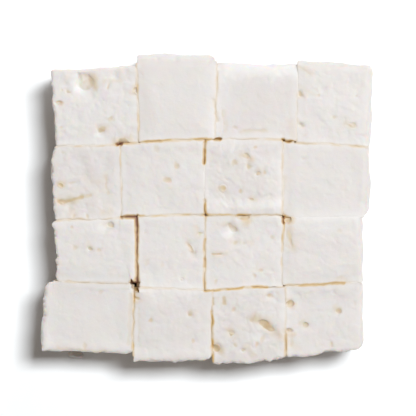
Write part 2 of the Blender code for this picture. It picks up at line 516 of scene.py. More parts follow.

# %% [markdown]
# ## Dents, pits and creases one by one
# Some marks are too particular to leave to chance: a torn pit here, a hairline crease there,
# a wide shallow dent where a flake came away. Each is one row of numbers. A pit and a dent
# have a place, a width and a depth. A crease runs between two places and has a width and a
# depth. The deeper a pit or crease, the more tan it gets: partly whey stain, partly painted shade.

# %% List the dents, pits and creases
PITS = (
    (-24.2, 22.6, 1.0, 0.23), (-36.5, 20.1, 0.8, 0.2), (-36.9, 26.1, 1.0, 0.33),
    (7.3, 20.4, 1.0, 0.16),
    (27.8, 28.6, 0.8, 0.16), (31.8, 22.9, 0.8, 0.2),
    (-25.0, 3.9, 0.8, 0.16), (-33.2, -1.6, 0.7, 0.2), (-30.0, -1.6, 0.7, 0.2),
    (-7.5, 10.6, 1.0, 0.23), (-9.8, 7.4, 1.1, 0.26), (-12.5, 15.0, 1.2, 0.1),
    (12.5, 15.4, 0.6, 0.2), (7.0, 11.6, 0.8, 0.2), (8.5, 4.4, 0.8, 0.23),
    (-33.8, -4.9, 0.8, 0.2), (-33.2, -9.6, 0.8, 0.2), (-27.0, -10.4, 0.9, 0.2),
    (-4.8, -9.1, 1.0, 0.2), (-3.3, -10.9, 0.9, 0.2), (-14.8, -13.6, 1.0, 0.1), (-11.0, -14.1, 1.0, 0.1),
    (7.0, -8.6, 0.8, 0.2), (9.0, -8.6, 0.8, 0.2), (16.3, -7.1, 0.9, 0.2),
    (13.8, -15.6, 0.8, 0.2), (12.0, -16.9, 0.8, 0.2), (2.3, -18.1, 0.8, 0.2),
    (33.3, -5.6, 0.9, 0.1), (33.3, -17.4, 1.0, 0.1),
    (-26.5, -20.9, 0.8, 0.13), (-30.8, -34.1, 0.8, 0.16),
    (-14.0, -28.4, 1.0, 0.26), (-4.0, -26.6, 1.0, 0.2), (-3.3, -33.4, 0.8, 0.2),
    (6.3, -25.1, 1.0, 0.2), (11.3, -28.1, 1.0, 0.23), (13.8, -32.4, 1.2, 0.23), (7.0, -34.6, 0.8, 0.2),
    (21.3, -34.1, 1.2, 0.16), (31.0, -34.1, 1.2, 0.16),
)
DENTS = (
    (-30.6, 30.8, 6.0, 0.50), (-23.0, 33.0, 2.4, 0.30), (-26.6, 19.2, 2.6, 0.25),
    (-24.9, -4.3, 3.0, 0.25),
    (5.8, -5.6, 3.4, 0.35), (-3.0, -11.6, 2.6, 0.12), (14.6, -31.4, 4.0, 0.35), (9.6, -28.6, 2.4, 0.2),
    (-35.2, 31.0, 2.0, 0.2), (17.0, -31.6, 2.4, 0.2), (-14.0, -16.0, 3.0, 0.1), (29.0, 30.0, 2.0, 0.15),
    (-12.0, 30.0, 3.0, 0.06), (8.0, 27.0, 3.0, 0.06), (-29.5, 8.0, 5.0, 0.15), (-34.5, 1.2, 2.6, 0.3),
)
CREASES = (
    (9.5, 19.5, 14.5, 19.4, 0.5, 0.12),
    (23.5, 35.4, 26.0, 33.4, 0.4, 0.15),
    (-37.0, 1.7, -31.3, 3.2, 0.8, 0.35), (-31.3, 3.2, -29.3, 3.7, 0.5, 0.15),
    (-25.2, 7.6, -25.2, 4.7, 0.4, 0.15),
    (19.8, -3.4, 20.0, -9.4, 0.3, 0.08), (20.2, -3.4, 21.4, -8.4, 0.3, 0.08),
    (1.8, -22.4, 1.8, -24.0, 0.5, 0.25), (4.3, -22.4, 4.3, -24.0, 0.5, 0.25),
    (-37.8, -34.8, -25.8, -35.3, 0.4, 0.07), (-30.9, -33.9, -30.6, -35.4, 0.5, 0.15),
    (2.4, 35.5, 2.3, 29.0, 0.8, 0.12), (1.4, 27.2, 2.7, 22.2, 0.7, 0.15),
    (4.0, 24.5, 4.2, 21.0, 0.4, 0.1),
    (-19.6, -21.5, -19.8, -34.0, 0.5, 0.12), (-16.9, -25.0, -17.0, -33.0, 0.4, 0.06),
)
# how fast the tan of whey stain and painted shade grows with a mark's depth, and how much of that depth
# the curd keeps
STAIN_AND_SHADE_PER_MM = 3.0
MARK_DEPTH = 0.6
# a pit is a crease of next to no length
DOT = 0.01
# where a mark, the core of its stain and painted shade, and a dent end, as shares of the width
MARK_END = 0.9
STAIN_AND_SHADE_CORE = 0.25
DENT_END = 0.75


def distance_to_line(points, start, end):
    """How far each point is, from above, from the line between two places."""
    start, end = np.array(start), np.array(end)
    along = end - start
    share = np.clip((points[:, :2] - start) @ along / (along @ along), 0, 1)
    return np.linalg.norm(points[:, :2] - (start + share[:, None] * along), axis=1)


def press_marks(curd):
    """Sink the listed dents, pits and creases into the top, with whey stain and painted shade in the
    last two.
    """
    wobble = 1 + 0.5 * lumps(curd.start, 0.8, curd.seed + 50)
    on_top = 1 - fade(0.5, 1.2, curd.depth)
    deepest = np.zeros(len(curd.points))
    stain_and_shade = np.zeros(len(curd.points))
    for x, y, width, depth in DENTS:
        away = np.linalg.norm(curd.start[:, :2] - (x, y), axis=1) * (0.7 + 0.3 * wobble)
        curd.sink(on_top * depth * (1 - fade(0.0, DENT_END * width, away)))
    marks = [(x, y, x + DOT, y, width, depth) for x, y, width, depth in PITS]
    for x0, y0, x1, y1, width, depth in marks + list(CREASES):
        away = distance_to_line(curd.start, (x0, y0), (x1, y1)) * wobble
        deepest = np.maximum(deepest, depth * (1 - fade(0.0, MARK_END * width, away)))
        whey_and_shade = min(STAIN_AND_SHADE_PER_MM * depth, 1)
        stain_and_shade = np.maximum(stain_and_shade, whey_and_shade * (1 - fade(STAIN_AND_SHADE_CORE * width, MARK_END * width, away)))
    curd.sink(MARK_DEPTH * on_top * deepest)
    curd.stain_and_shade += on_top * stain_and_shade


print("pits, dents and creases:", len(PITS), len(DENTS), len(CREASES))

# %% [markdown]
# ## Whey stains and painted shade, fresh patches and painted highlights
# Whey that stood in a low place dries to a pale tan, and strokes of the same tan also stand
# for painted shade on the sides of hollows turned away from the light. Where a flake has come
# off, or a rim was rubbed, the fresh curd is whiter than the rest, and strokes of the same
# white are painted highlights on rims and hollow walls turned to the light. All are
# soft-edged. Each row is a stroke between two places, with a width and a strength. The cubes
# also differ as wholes, as some lay nearer the middle of the mould, so each has a paleness of
# its own.

# %% Tint by strokes
# partly whey stain, partly painted shade on the sides of hollows turned away from the light
WHEY_AND_SHADE = (
    (-23.0, 16.8, -19.0, 17.0, 2.2, 0.55), (-18.5, 29.0, -18.3, 30.6, 1.4, 0.5),
    (-28.4, 33.0, -28.0, 30.6, 1.9, 0.75), (-25.6, 31.6, -21.4, 31.8, 1.2, 0.3),
    (-34.9, 29.4, -34.2, 29.0, 2.0, 0.35),
    (-25.0, 22.4, -24.6, 22.2, 1.0, 0.3), (-26.6, 20.4, -25.6, 19.8, 2.2, 0.5),
    (2.6, 34.0, 2.2, 28.6, 1.3, 0.38), (1.4, 27.4, 2.8, 22.6, 1.1, 0.38),
    (4.4, 24.4, 4.9, 19.8, 1.2, 0.2),
    (8.6, 19.4, 15.0, 19.4, 1.1, 0.25), (22.6, 28.6, 24.6, 28.4, 1.8, 0.4),
    (22.9, 26.4, 22.9, 23.8, 0.9, 0.4),
    (23.0, 22.0, 23.9, 20.8, 1.6, 0.4), (9.2, 13.2, 11.0, 12.4, 2.0, 0.5),
    (12.8, 9.4, 13.1, 8.8, 1.7, 0.45),
    (3.6, 5.0, 4.2, 4.6, 1.8, 0.4), (10.8, 3.0, 11.3, 2.6, 1.6, 0.4),
    (23.6, 35.2, 26.4, 33.4, 1.2, 0.3), (34.6, 21.6, 36.6, 20.6, 2.2, 0.4),
    (23.4, 30.6, 27.6, 28.4, 1.0, 0.2), (21.2, 22.0, 21.4, 18.6, 1.4, 0.25),
    (-37.0, 1.9, -33.6, 2.4, 2.2, 0.6), (-25.2, 8.0, -25.2, 4.4, 0.9, 0.35),
    (-31.0, 7.4, -26.0, 6.4, 2.0, 0.15),
    (-36.8, 6.2, -36.4, 5.8, 1.8, 0.7), (-34.0, 0.0, -33.4, -1.8, 1.8, 0.3),
    (-26.0, -0.6, -24.6, -1.2, 2.0, 0.25),
    (9.0, -2.2, 9.8, -3.2, 2.6, 0.85), (6.6, -2.0, 12.6, -2.0, 1.2, 0.4),
    (19.6, 8.0, 19.0, 4.0, 1.1, 0.25),
    (20.4, -5.4, 21.4, -9.6, 2.0, 0.45), (19.8, -2.6, 20.8, -2.8, 2.4, 1.0),
    (21.0, -9.4, 21.6, -10.2, 2.0, 0.4),
    (4.4, -4.2, 7.6, -5.0, 1.4, 0.3), (2.0, -11.8, 5.0, -11.4, 1.8, 0.3),
    (6.0, -8.4, 10.6, -8.2, 1.4, 0.2),
    (-3.0, -4.6, -2.6, -7.0, 1.6, 0.3), (-5.0, -8.8, -3.2, -11.4, 1.5, 0.3),
    (-25.6, -4.2, -24.2, -4.6, 1.8, 0.35),
    (-29.6, -9.4, -28.4, -10.2, 1.6, 0.4), (-18.0, -20.6, -17.4, -23.4, 1.3, 0.55),
    (12.0, -27.6, 15.4, -28.6, 2.2, 0.55), (14.8, -29.6, 18.6, -32.0, 2.0, 0.40),
    (5.4, -30.6, 6.2, -31.6, 2.0, 0.5),
    (-37.4, -35.0, -25.4, -35.6, 0.6, 0.35), (2.0, -34.4, 3.6, -35.6, 2.6, 0.6),
    (9.6, -34.6, 11.6, -36.4, 1.6, 0.3), (20.2, -23.0, 21.0, -24.6, 2.0, 0.5),
    (19.6, -31.0, 21.4, -31.8, 1.8, 0.55), (23.6, -28.8, 24.4, -29.4, 1.8, 0.4),
    (20.8, -33.6, 22.6, -34.8, 2.2, 0.25),
    (32.4, -24.8, 33.0, -25.4, 1.8, 0.4), (32.8, -17.6, 35.4, -18.3, 1.6, 0.35),
)
PALENESS = {
    "a1": 0.17, "a2": 0.07, "a3": 0.0, "a4": 0.13,
    "b1": 0.03, "b2": 0.14, "b3": 0.0, "b4": 0.07,
    "c1": 0.17, "c2": 0.18, "c3": 0.14, "c4": 0.09,
    "d1": 0.17, "d2": 0.05, "d3": 0.0, "d4": 0.08,
}
# partly fresh curd, partly painted highlight on rims and hollow walls turned to the light at the back
# right
PALE_AND_LIT = (
    (-32.4, 31.6, -32.0, 29.8, 3.6, 0.65), (-22.8, 34.0, -22.6, 32.4, 1.8, 0.40),
    (-26.9, 18.2, -26.2, 17.8, 1.8, 0.45),
    (6.0, 35.8, 21.0, 35.2, 4.8, 0.55), (-15.4, 39.4, 0.6, 39.0, 4.0, 0.35),
    (25.0, 36.0, 40.0, 34.4, 2.0, 0.15), (40.4, 34.0, 40.0, 17.0, 2.2, 0.15),
    (-23.0, 14.6, -23.0, -0.6, 1.6, 0.15), (3.0, 1.4, 17.6, 1.4, 3.0, 0.20),
    (-26.6, -4.6, -26.0, -4.8, 2.0, 0.40), (5.4, -6.2, 6.2, -5.4, 2.4, 0.50),
    (-2.9, -12.6, -2.5, -12.8, 1.5, 0.35),
    (11.0, -32.6, 14.0, -32.4, 2.6, 0.25), (-17.0, -36.4, -2.0, -36.6, 2.0, 0.15),
)
# where a stroke ends, as a share of its width
STROKE_END = 0.8


def tint(curd):
    """Brush on whey stains and painted shade, paler patches and painted highlights, with ragged soft
    edges.
    """
    wobble = 1 + 0.4 * lumps(curd.start, 1.0, curd.seed + 80)
    curd.pale += PALENESS[curd.name]
    for strokes, measure in ((WHEY_AND_SHADE, curd.stain_and_shade), (PALE_AND_LIT, curd.pale)):
        for x0, y0, x1, y1, width, strength in strokes:
            away = distance_to_line(curd.start, (x0, y0), (x1, y1)) * wobble
            np.maximum(measure, strength * (1 - fade(0.0, STROKE_END * width, away)), out=measure)


print("strokes of whey and of fresh curd:", len(WHEY_AND_SHADE), len(PALE_AND_LIT))

# %% [markdown]
# ## Crumbled rims
# Where a knife leaves the curd, grains tear away. The rims on the outside of the block are
# ragged, most of all on the left and the front, with grains from half a millimetre up. The
# raggedness reaches a few millimetres down the wall. Below that the wall leans a little in
# or out toward its foot, and here and there it swells where the curd has slumped.

# %% Crumble the outside rims
RAGGED = {
    ("a1", "west"): 1.2, ("b1", "west"): 1.1, ("c1", "west"): 1.6, ("d1", "west"): 1.2,
    ("d1", "south"): 1.0, ("d2", "south"): 1.2, ("d3", "south"): 1.5, ("d4", "south"): 1.5,
    ("b4", "east"): 0.5,
}
RAGGED_USUAL = 0.3
RIM_GRAINS = ((2.6, 0.25), (1.1, 0.20), (0.6, 0.13))
RIM_DEPTH = 3.0
# grains are drawn out this much down a wall
DOWN_A_WALL = (1, 1, 0.35)
# how far each wall's foot stands out, and over what depth it gets there
FOOT_DEPTHS = (1.0, 14.0)
FOOT_OUT = {
    ("a1", "west"): -1.0, ("b1", "west"): 0.3, ("c1", "west"): -0.5,
    ("d1", "south"): -0.4, ("d2", "south"): -0.5,
    ("d3", "south"): -0.8, ("d4", "south"): -0.8,
}
# each swelling of the walls: where it is, how wide, and how far out
SWELL_DEPTH = 9.0
SWELLS = (
    (-38.4, 9.1, 2.5, 0.45), (-38.4, -2.0, 1.6, -0.3), (-38.0, -11.5, 3.0, -0.35),
    (-38.3, -4.1, 1.0, 0.6), (-38.0, -16.6, 0.7, 0.4), (-40.8, -22.4, 2.0, 0.45),
    (40.3, 6.5, 2.0, 0.4), (40.9, 26.0, 2.5, 0.2),
    (24.5, -36.6, 1.5, 0.5), (10.7, -38.0, 2.0, 0.4), (-17.8, -38.2, 0.8, 0.5),
    (-20.0, 35.7, 2.5, 0.1), (-31.0, 35.0, 4.0, -0.2),
)


def crumble_rims(curd):
    """Push the outside rims in and out by grains, and swell the walls where they bulge."""
    grain = grains(curd.start * DOWN_A_WALL, RIM_GRAINS, curd.seed + 60)
    near_rim = np.exp(-((curd.depth / RIM_DEPTH) ** 2))
    bulge = np.zeros(len(curd.points))
    for x, y, width, out in SWELLS:
        away = np.linalg.norm(curd.start[:, :2] - (x, y), axis=1)
        bulge += out * np.exp(-((away / width) ** 2) - (curd.depth / SWELL_DEPTH) ** 2)
    amounts = np.zeros(curd.inset.shape)
    for i, direction in enumerate(curd.walls):
        side = (curd.name, side_name(direction))
        ragged = RAGGED.get(side, RAGGED_USUAL)
        leaning = FOOT_OUT.get(side, 0) * fade(*FOOT_DEPTHS, curd.depth)
        is_open = fade(*OPEN_GAP, curd.gap[:, i])
        close = 1 - fade(0.3, 1.8, curd.inset[:, i])
        amounts[:, i] = is_open * close * (ragged * near_rim * grain + bulge + leaning)
    curd.push_walls(amounts)


print("ragged rims:", len(RAGGED), "and swellings:", len(SWELLS))

# %% [markdown]
# ## The cuts
# The knife leaves gaps of a few tenths of a millimetre that wander, and damp curd leans back
# together below the surface. So a cut is a narrow groove: open at the rim, and closed a
# little way down. Each row gives one stretch of cut from above: where it starts and ends,
# how wide it stands open, and how brown it is, painted shade included. Most have nearly healed,
# and a negative width presses the rims into each other. A few gape, and those are browner:
# partly whey stain, partly painted shade in the open gap.
#
# Two cubes that have healed together also share one level at the cut. Near it each is eased
# halfway up or down to the other, or a step would stand there and cast a line of shade.

# %% Say how wide each cut stands open
CUTS = (
    # between the cubes of the back row
    (-17.6, 35.5, -17.9, 31.0, 0.10, 0.50),
    (-18.0, 30.0, -17.0, 17.5, 0.05, 0.45),
    (2.4, 36.0, 2.3, 28.0, -0.02, 0.20),
    (2.3, 27.0, 2.0, 18.5, 0.02, 0.22),
    (22.8, 36.0, 22.3, 18.5, -0.30, 0.12),
    # between the back row and the second
    (-37.5, 15.6, -23.0, 15.9, 0.06, 0.35),
    (-22.4, 16.0, -21.2, 16.2, 0.85, 1.00),
    (-20.5, 16.1, -17.6, 16.4, 0.22, 0.70),
    (-16.8, 16.6, -11.8, 16.9, 0.24, 1.00),
    (-11.0, 17.0, 1.0, 17.5, 0.16, 0.80),
    (2.1, 17.5, 3.2, 17.5, 0.75, 1.00),
    (4.2, 17.5, 18.2, 17.3, 0.02, 0.24),
    (19.0, 17.2, 20.7, 17.0, 0.48, 1.00),
    (21.9, 16.6, 40.0, 15.4, 0.10, 0.36),
    # between the cubes of the second row
    (-21.6, 15.0, -21.5, -1.4, -0.18, 0.36),
    (-0.7, 16.6, -0.6, 11.6, 0.25, 1.00),
    (-0.6, 10.5, -0.6, 3.0, -0.15, 0.06),
    (-0.6, 1.8, -0.6, -1.0, 0.22, 0.90),
    (19.0, 16.0, 18.7, -1.4, 0.02, 0.24),
    # between the second row and the third
    (-38.0, -2.8, -31.5, -2.7, 0.14, 0.40),
    (-30.5, -2.7, -22.5, -2.4, -0.04, 0.22),
    (-21.4, -2.2, -17.6, -2.2, 0.62, 1.00),
    (-16.8, -1.9, -1.2, -1.3, 0.08, 0.60),
    (-0.6, -1.4, -0.2, -1.6, 0.25, 1.00),
    (0.6, -1.4, 6.6, -1.5, 0.02, 0.50),
    (7.6, -1.5, 10.4, -1.6, 0.25, 0.95),
    (11.4, -1.6, 18.4, -1.7, 0.03, 0.45),
    (19.2, -1.9, 20.0, -2.1, 0.20, 0.95),
    (21.0, -2.0, 38.5, -2.1, -0.12, 0.00),
    # between the cubes of the third row, and the hole at their foot
    (-17.6, -2.8, -17.6, -6.0, 0.72, 1.00),
    (-17.6, -7.0, -17.7, -15.5, 0.50, 1.00),
    (-17.8, -16.5, -17.9, -17.8, 0.65, 1.00),
    (-18.9, -18.5, -17.5, -20.0, 2.50, 1.00),
    (-0.6, -2.2, -0.6, -7.0, 0.00, 0.38),
    (-0.6, -8.0, -0.5, -19.8, 0.20, 1.00),
    (19.1, -2.4, 19.2, -3.6, 0.50, 1.00),
    (19.0, -4.4, 19.0, -10.5, 0.02, 0.60),
    (18.9, -11.5, 18.9, -18.8, -0.18, 0.34),
    # between the third row and the front one
    (-37.5, -18.1, -19.5, -18.9, 0.04, 0.32),
    (-17.0, -19.9, -1.4, -20.2, 0.02, 0.30),
    (-0.2, -20.4, 14.6, -19.5, 0.13, 0.85),
    (15.6, -19.5, 18.4, -19.3, -0.12, 0.30),
    (19.3, -19.2, 34.0, -18.7, 0.13, 0.95),
    (35.0, -18.7, 38.9, -18.6, -0.08, 0.10),
    # between the cubes of the front row
    (-18.4, -20.6, -18.7, -35.8, 0.14, 0.60),
    (1.3, -21.2, 1.4, -25.0, -0.16, 0.22),
    (1.4, -26.0, 1.5, -36.5, 0.10, 0.70),
    (19.5, -20.0, 19.7, -31.0, -0.06, 0.20),
    (19.8, -32.0, 20.0, -36.0, 0.22, 0.80),
)
# a stretch's say in a point fades with the distance, softened by the blur, to this power
CUT_BLUR = 0.6
CUT_POWER = 6
# the random part of the width, drawn out down the cut, and the grains along its rims
CUT_UNEVEN = ((2.2, 0.10), (0.9, 0.07))
CUT_SEED = 5000
DOWN_A_CUT = (1, 1, 0.3)
CUT_GRAINS = ((1.2, 0.07), (0.6, 0.05))


def look_of_cuts(points):
    """How wide the cut at each point stands open at the top, and how brown and shaded it is."""
    away = np.stack([distance_to_line(points, cut[0:2], cut[2:4]) for cut in CUTS])
    weights = 1 / (CUT_BLUR + away) ** CUT_POWER
    return np.array([cut[4:6] for cut in CUTS]).T @ weights / weights.sum(axis=0)


print("stretches of cut:", len(CUTS))

# %% [markdown]
# ## Closing and colouring the cuts
# Four things happen at a cut. Its walls move to their open width at the rim and lean together
# below, until they press into each other. A healed cut loses its rounded rims. The two tops
# are eased to one level. And it turns brown in patches, partly whey stain and partly painted
# shade, darker further down.

# %% Close, heal and level the cuts, and paint their brown and shade
# a cut's width below the surface, its widest gape, and how deep it closes: at least this
# much, and this much more for each millimetre of width
PRESSED = -0.2
WIDEST = 2.5
CLOSED_AT = 0.15
CLOSED_PER_MM = 2.0
# how much of a rounded rim a healed cut fills, and how deep that rim is
HEALED_FILL = 0.85
HEALED_DEPTH = 0.4
# how far from a cut its two tops are eased together
LEVEL_REACH = 5.0
NEARLY_NONE = 1e-9
# how wide the patches of brown and painted shade are, how strong the weakest is, and how much more the
# strongest
PATCH_WIDTH = 1.8
PATCH_WEAKEST = 0.55
PATCH_MORE = 0.9
# the share of the brown and painted shade that shows at the very top
SURFACE_BROWN_AND_SHADE = 0.6


def close_cuts(curd, width):
    """Move the walls of the cuts: to their open width at the rim, and together below."""
    gaping = np.clip(width, 0, WIDEST)
    closing = fade(0.0, CLOSED_AT + CLOSED_PER_MM * gaping, curd.depth)
    wanted = width * (1 - closing) + PRESSED * closing
    close = 1 - fade(0.2, 1.4, curd.inset)
    grain = grains(curd.start, CUT_GRAINS, curd.seed + 70) * (1 - fade(0.5, 1.5, curd.depth))
    curd.push_walls(curd.is_cut * close * ((curd.gap - wanted[:, None]) / 2 + grain[:, None]))


def heal_cuts(curd, width):
    """Fill the rounded rims of the narrow cuts."""
    beside = (curd.is_cut * (1 - fade(0.0, 0.6, curd.inset))).max(axis=1)
    healed = beside * (1 - fade(0.1, 0.4, width)) * (1 - fade(0.3, 0.9, curd.depth))
    curd.sink(-HEALED_FILL * healed * np.clip(curd.depth, 0, HEALED_DEPTH))


def level_cuts(curd):
    """Ease the top beside each healed cut halfway to the level of the next cube."""
    beside = curd.is_cut * np.clip(1 - curd.inset / LEVEL_REACH, 0, 1) ** 2
    for i, direction in enumerate(curd.walls):
        at_wall, _ = look_of_cuts(curd.start[:, :2] + curd.inset[:, i : i + 1] * direction)
        beside[:, i] *= 1 - fade(0.15, 0.5, at_wall)
    level = 0.5 * (beside**2 * curd.rise).sum(axis=1) / (beside.sum(axis=1) + NEARLY_NONE)
    curd.sink(-level * (1 - fade(1.0, 3.0, curd.depth)))


def brown_and_shade_cuts(curd, brown_and_shade):
    """Keep each cut's brown and painted shade, darker further down, and how near a seam each point lies.
    """
    patches = lumps(curd.start * DOWN_A_CUT, PATCH_WIDTH, CUT_SEED + 50)
    patches = PATCH_WEAKEST + PATCH_MORE * fade(-0.5, 0.5, patches)
    in_cut = (curd.is_cut * (1 - fade(0.1, 0.5, curd.inset))).max(axis=1)
    whey_and_shade = in_cut * np.clip(brown_and_shade * patches, 0, 1)
    # painted shade: the brown deepens from the rim down into the cut
    curd.cut = whey_and_shade * (SURFACE_BROWN_AND_SHADE + (1 - SURFACE_BROWN_AND_SHADE) * fade(0.15, 1.0, curd.depth))
    curd.seam = (curd.is_cut * (1 - fade(0.3, 1.5, curd.inset))).max(axis=1)


def lean_together(curd):
    """Do all that happens to a cube at its cuts."""
    width, brown_and_shade = look_of_cuts(curd.start)
    width = width + grains(curd.start * DOWN_A_CUT, CUT_UNEVEN, CUT_SEED)
    close_cuts(curd, width)
    heal_cuts(curd, width)
    level_cuts(curd)
    brown_and_shade_cuts(curd, brown_and_shade)


print("the cuts close by", CLOSED_AT + CLOSED_PER_MM * WIDEST, "mm down")

# %% [markdown]
# ## The wandering knife
# No cut is dead straight. A slow wave and two quicker ones shift everything sideways, the same
# for both sides of a cut, so the cubes bend together and each cut stays as wide as it was.

# %% Let the cuts wander
WANDER = ((8.0, 0.22), (2.2, 0.14), (1.0, 0.05))
WANDER_SEED = 4000


def wander(curd):
    """Shift the points sideways by a wave that all the cubes share."""
    flattened = curd.points * DOWN_A_WALL
    for axis in (0, 1):
        curd.points[:, axis] += grains(flattened, WANDER, WANDER_SEED + 10 * axis)


print("the knife wanders by at most", round(sum(height for _, height in WANDER), 2), "mm")

# %% [markdown]
# ## Washed smooth
# Brine rounds off whatever the knife and the draining left sharp. Each point of the top is
# moved a little toward the mean height of its neighbours, several times over. The rims of
# the cuts are newer, so they keep their edge.

# %% Soften the tops
SOFTENINGS = 12


def soften(curd):
    """Even out the heights of neighbouring points, away from the rims."""
    ends = np.empty(len(curd.skin.edges) * 2, np.int32)
    curd.skin.edges.foreach_get("vertices", ends)
    first, second = ends[::2], ends[1::2]
    count = np.bincount(ends, minlength=len(curd.points))
    share = 0.5 * fade(0.4, 1.2, curd.edge) * (1 - fade(2.5, 4.0, curd.depth))
    height = curd.points[:, 2]
    for _ in range(SOFTENINGS):
        total = np.bincount(first, height[second], len(height))
        total += np.bincount(second, height[first], len(height))
        height += share * (total / count - height)


print("rounds of softening:", SOFTENINGS)

# %% [markdown]
# ## Sculpting all sixteen
# The steps run in order for each cube. Four measures stay with the mesh for its finish: how
# brown and shaded a point is as part of a cut, how stained and shaded in a hollow, how pale
# and lit, and how near a seam. A hollow's lining gets painted shade on the side turned away
# from the light at the back right, so the side that faces that light stays whiter.

# %% Sculpt every cube
# the side of a hollow's lining turned toward the light keeps its white, and the painted shade goes on
# the far side
TOWARD_LIGHT = (0.7, 0.7)
LIT_SIDE_SHARE = 0.7
LINING_SHADE = 0.7


def sculpt(name):
    """Turn one plain solid into a cube of cheese, and bring it back to metres."""
    curd = Curd(name)
    roughen_hollows(curd)
    shape_rims(curd)
    sink_pinholes(curd)
    press_marks(curd)
    tint(curd)
    soften(curd)
    raise_relief(curd)
    crumble_rims(curd)
    lean_together(curd)
    wander(curd)
    curd.points[:, 2] = np.maximum(curd.points[:, 2], 0)
    curd.skin.vertices.foreach_set("co", curd.points.astype(np.float32).ravel())
    # painted shade: each hollow's lining turns tan deeper in, except on the side facing the light; the
    # whey stain and painted shade of the marks go on top
    facing = rows_of(curd.skin.vertex_normals, "vector")[:, :2]
    facing_light = fade(-0.2, 0.3, facing @ np.array(TOWARD_LIGHT))
    lining_shade = curd.in_hollow * fade(0.1, 0.7, curd.hollow)
    hollow = np.clip(LINING_SHADE * lining_shade * (1 - LIT_SIDE_SHARE * facing_light) + curd.stain_and_shade, 0, 1)
    measures = {"cut": curd.cut, "hollow": hollow, "pale": curd.pale, "seam": curd.seam}
    for measure, values in measures.items():
        attribute = curd.skin.attributes.new(measure, "FLOAT", "POINT")
        attribute.data.foreach_set("value", values.astype(np.float32))
    curd.skin.transform(Matrix.Scale(MM, 4))
    curd.skin.shade_smooth()
    return curd.skin


cubes = {name: sculpt(name) for name in solids}
triangles = {name: sum(len(face.vertices) - 2 for face in skin.polygons) for name, skin in cubes.items()}
print("triangles:", sum(triangles.values()), "in all, at most", max(triangles.values()), "in a cube")

# %% [markdown]
# ## Colours and nodes
# A colour is written as it would be on a paint card, in sRGB, and turned to linear light for
# the renderer. One small function adds a node, whatever its kind, with its settings and links.

# %% Turn hex colours to linear, and add nodes
def srgb(hex_colour):
    """A hex colour as linear red, green, blue and alpha."""
    channels = [int(hex_colour[i : i + 2], 16) / 255 for i in (1, 3, 5)]
    return [c / 12.92 if c <= 0.04045 else ((c + 0.055) / 1.055) ** 2.4 for c in channels] + [1.0]


def add(material, kind, inputs=None, **settings):
    """Add a node to a material, with its settings, and its inputs as values or links."""
    node = material.node_tree.nodes.new(kind)
    for setting, value in settings.items():
        setattr(node, setting, value)
    for socket, value in (inputs or {}).items():
        if isinstance(value, bpy.types.NodeSocket):
            material.node_tree.links.new(value, node.inputs[socket])
        else:
            node.inputs[socket].default_value = value
    return node


print("mid grey in linear light:", round(srgb("#808080")[0], 3))

# %% [markdown]
# ## Fresh white curd
# Brined cheese is fat and protein with water between them. Light goes a millimetre in and
# comes out again, a little yellower, so the surface glows softly and its holes and cuts turn
# cream and ochre. The damp skin is satin: rough, with a weak sheen.
#
# The colour comes in layers: first the cut's colour, from off-white through tan to dark ochre,
# which is whey brown and painted shade deeper in the cut, then the whey stain and painted
# shade in the hollows over it, then the paler patches and painted highlights, and last
# blotches a few millimetres wide that are too faint to see one by one. Beside a seam less
# light goes in, because each cube is a mesh of its own and light can't cross to the next.

# %% Make the curd's finish
# the sockets of a Mix node's colours, which share their names with its other kinds
MIX_FACTOR, MIX_A, MIX_B, MIX_RESULT = 0, 6, 7, 2
# the blotches' width and tint, and the width and height of the finest grains
BLOTCH = 5.0
BLOTCH_TINT = 0.015
GRAIN = 0.6
GRAIN_HEIGHT = 0.025


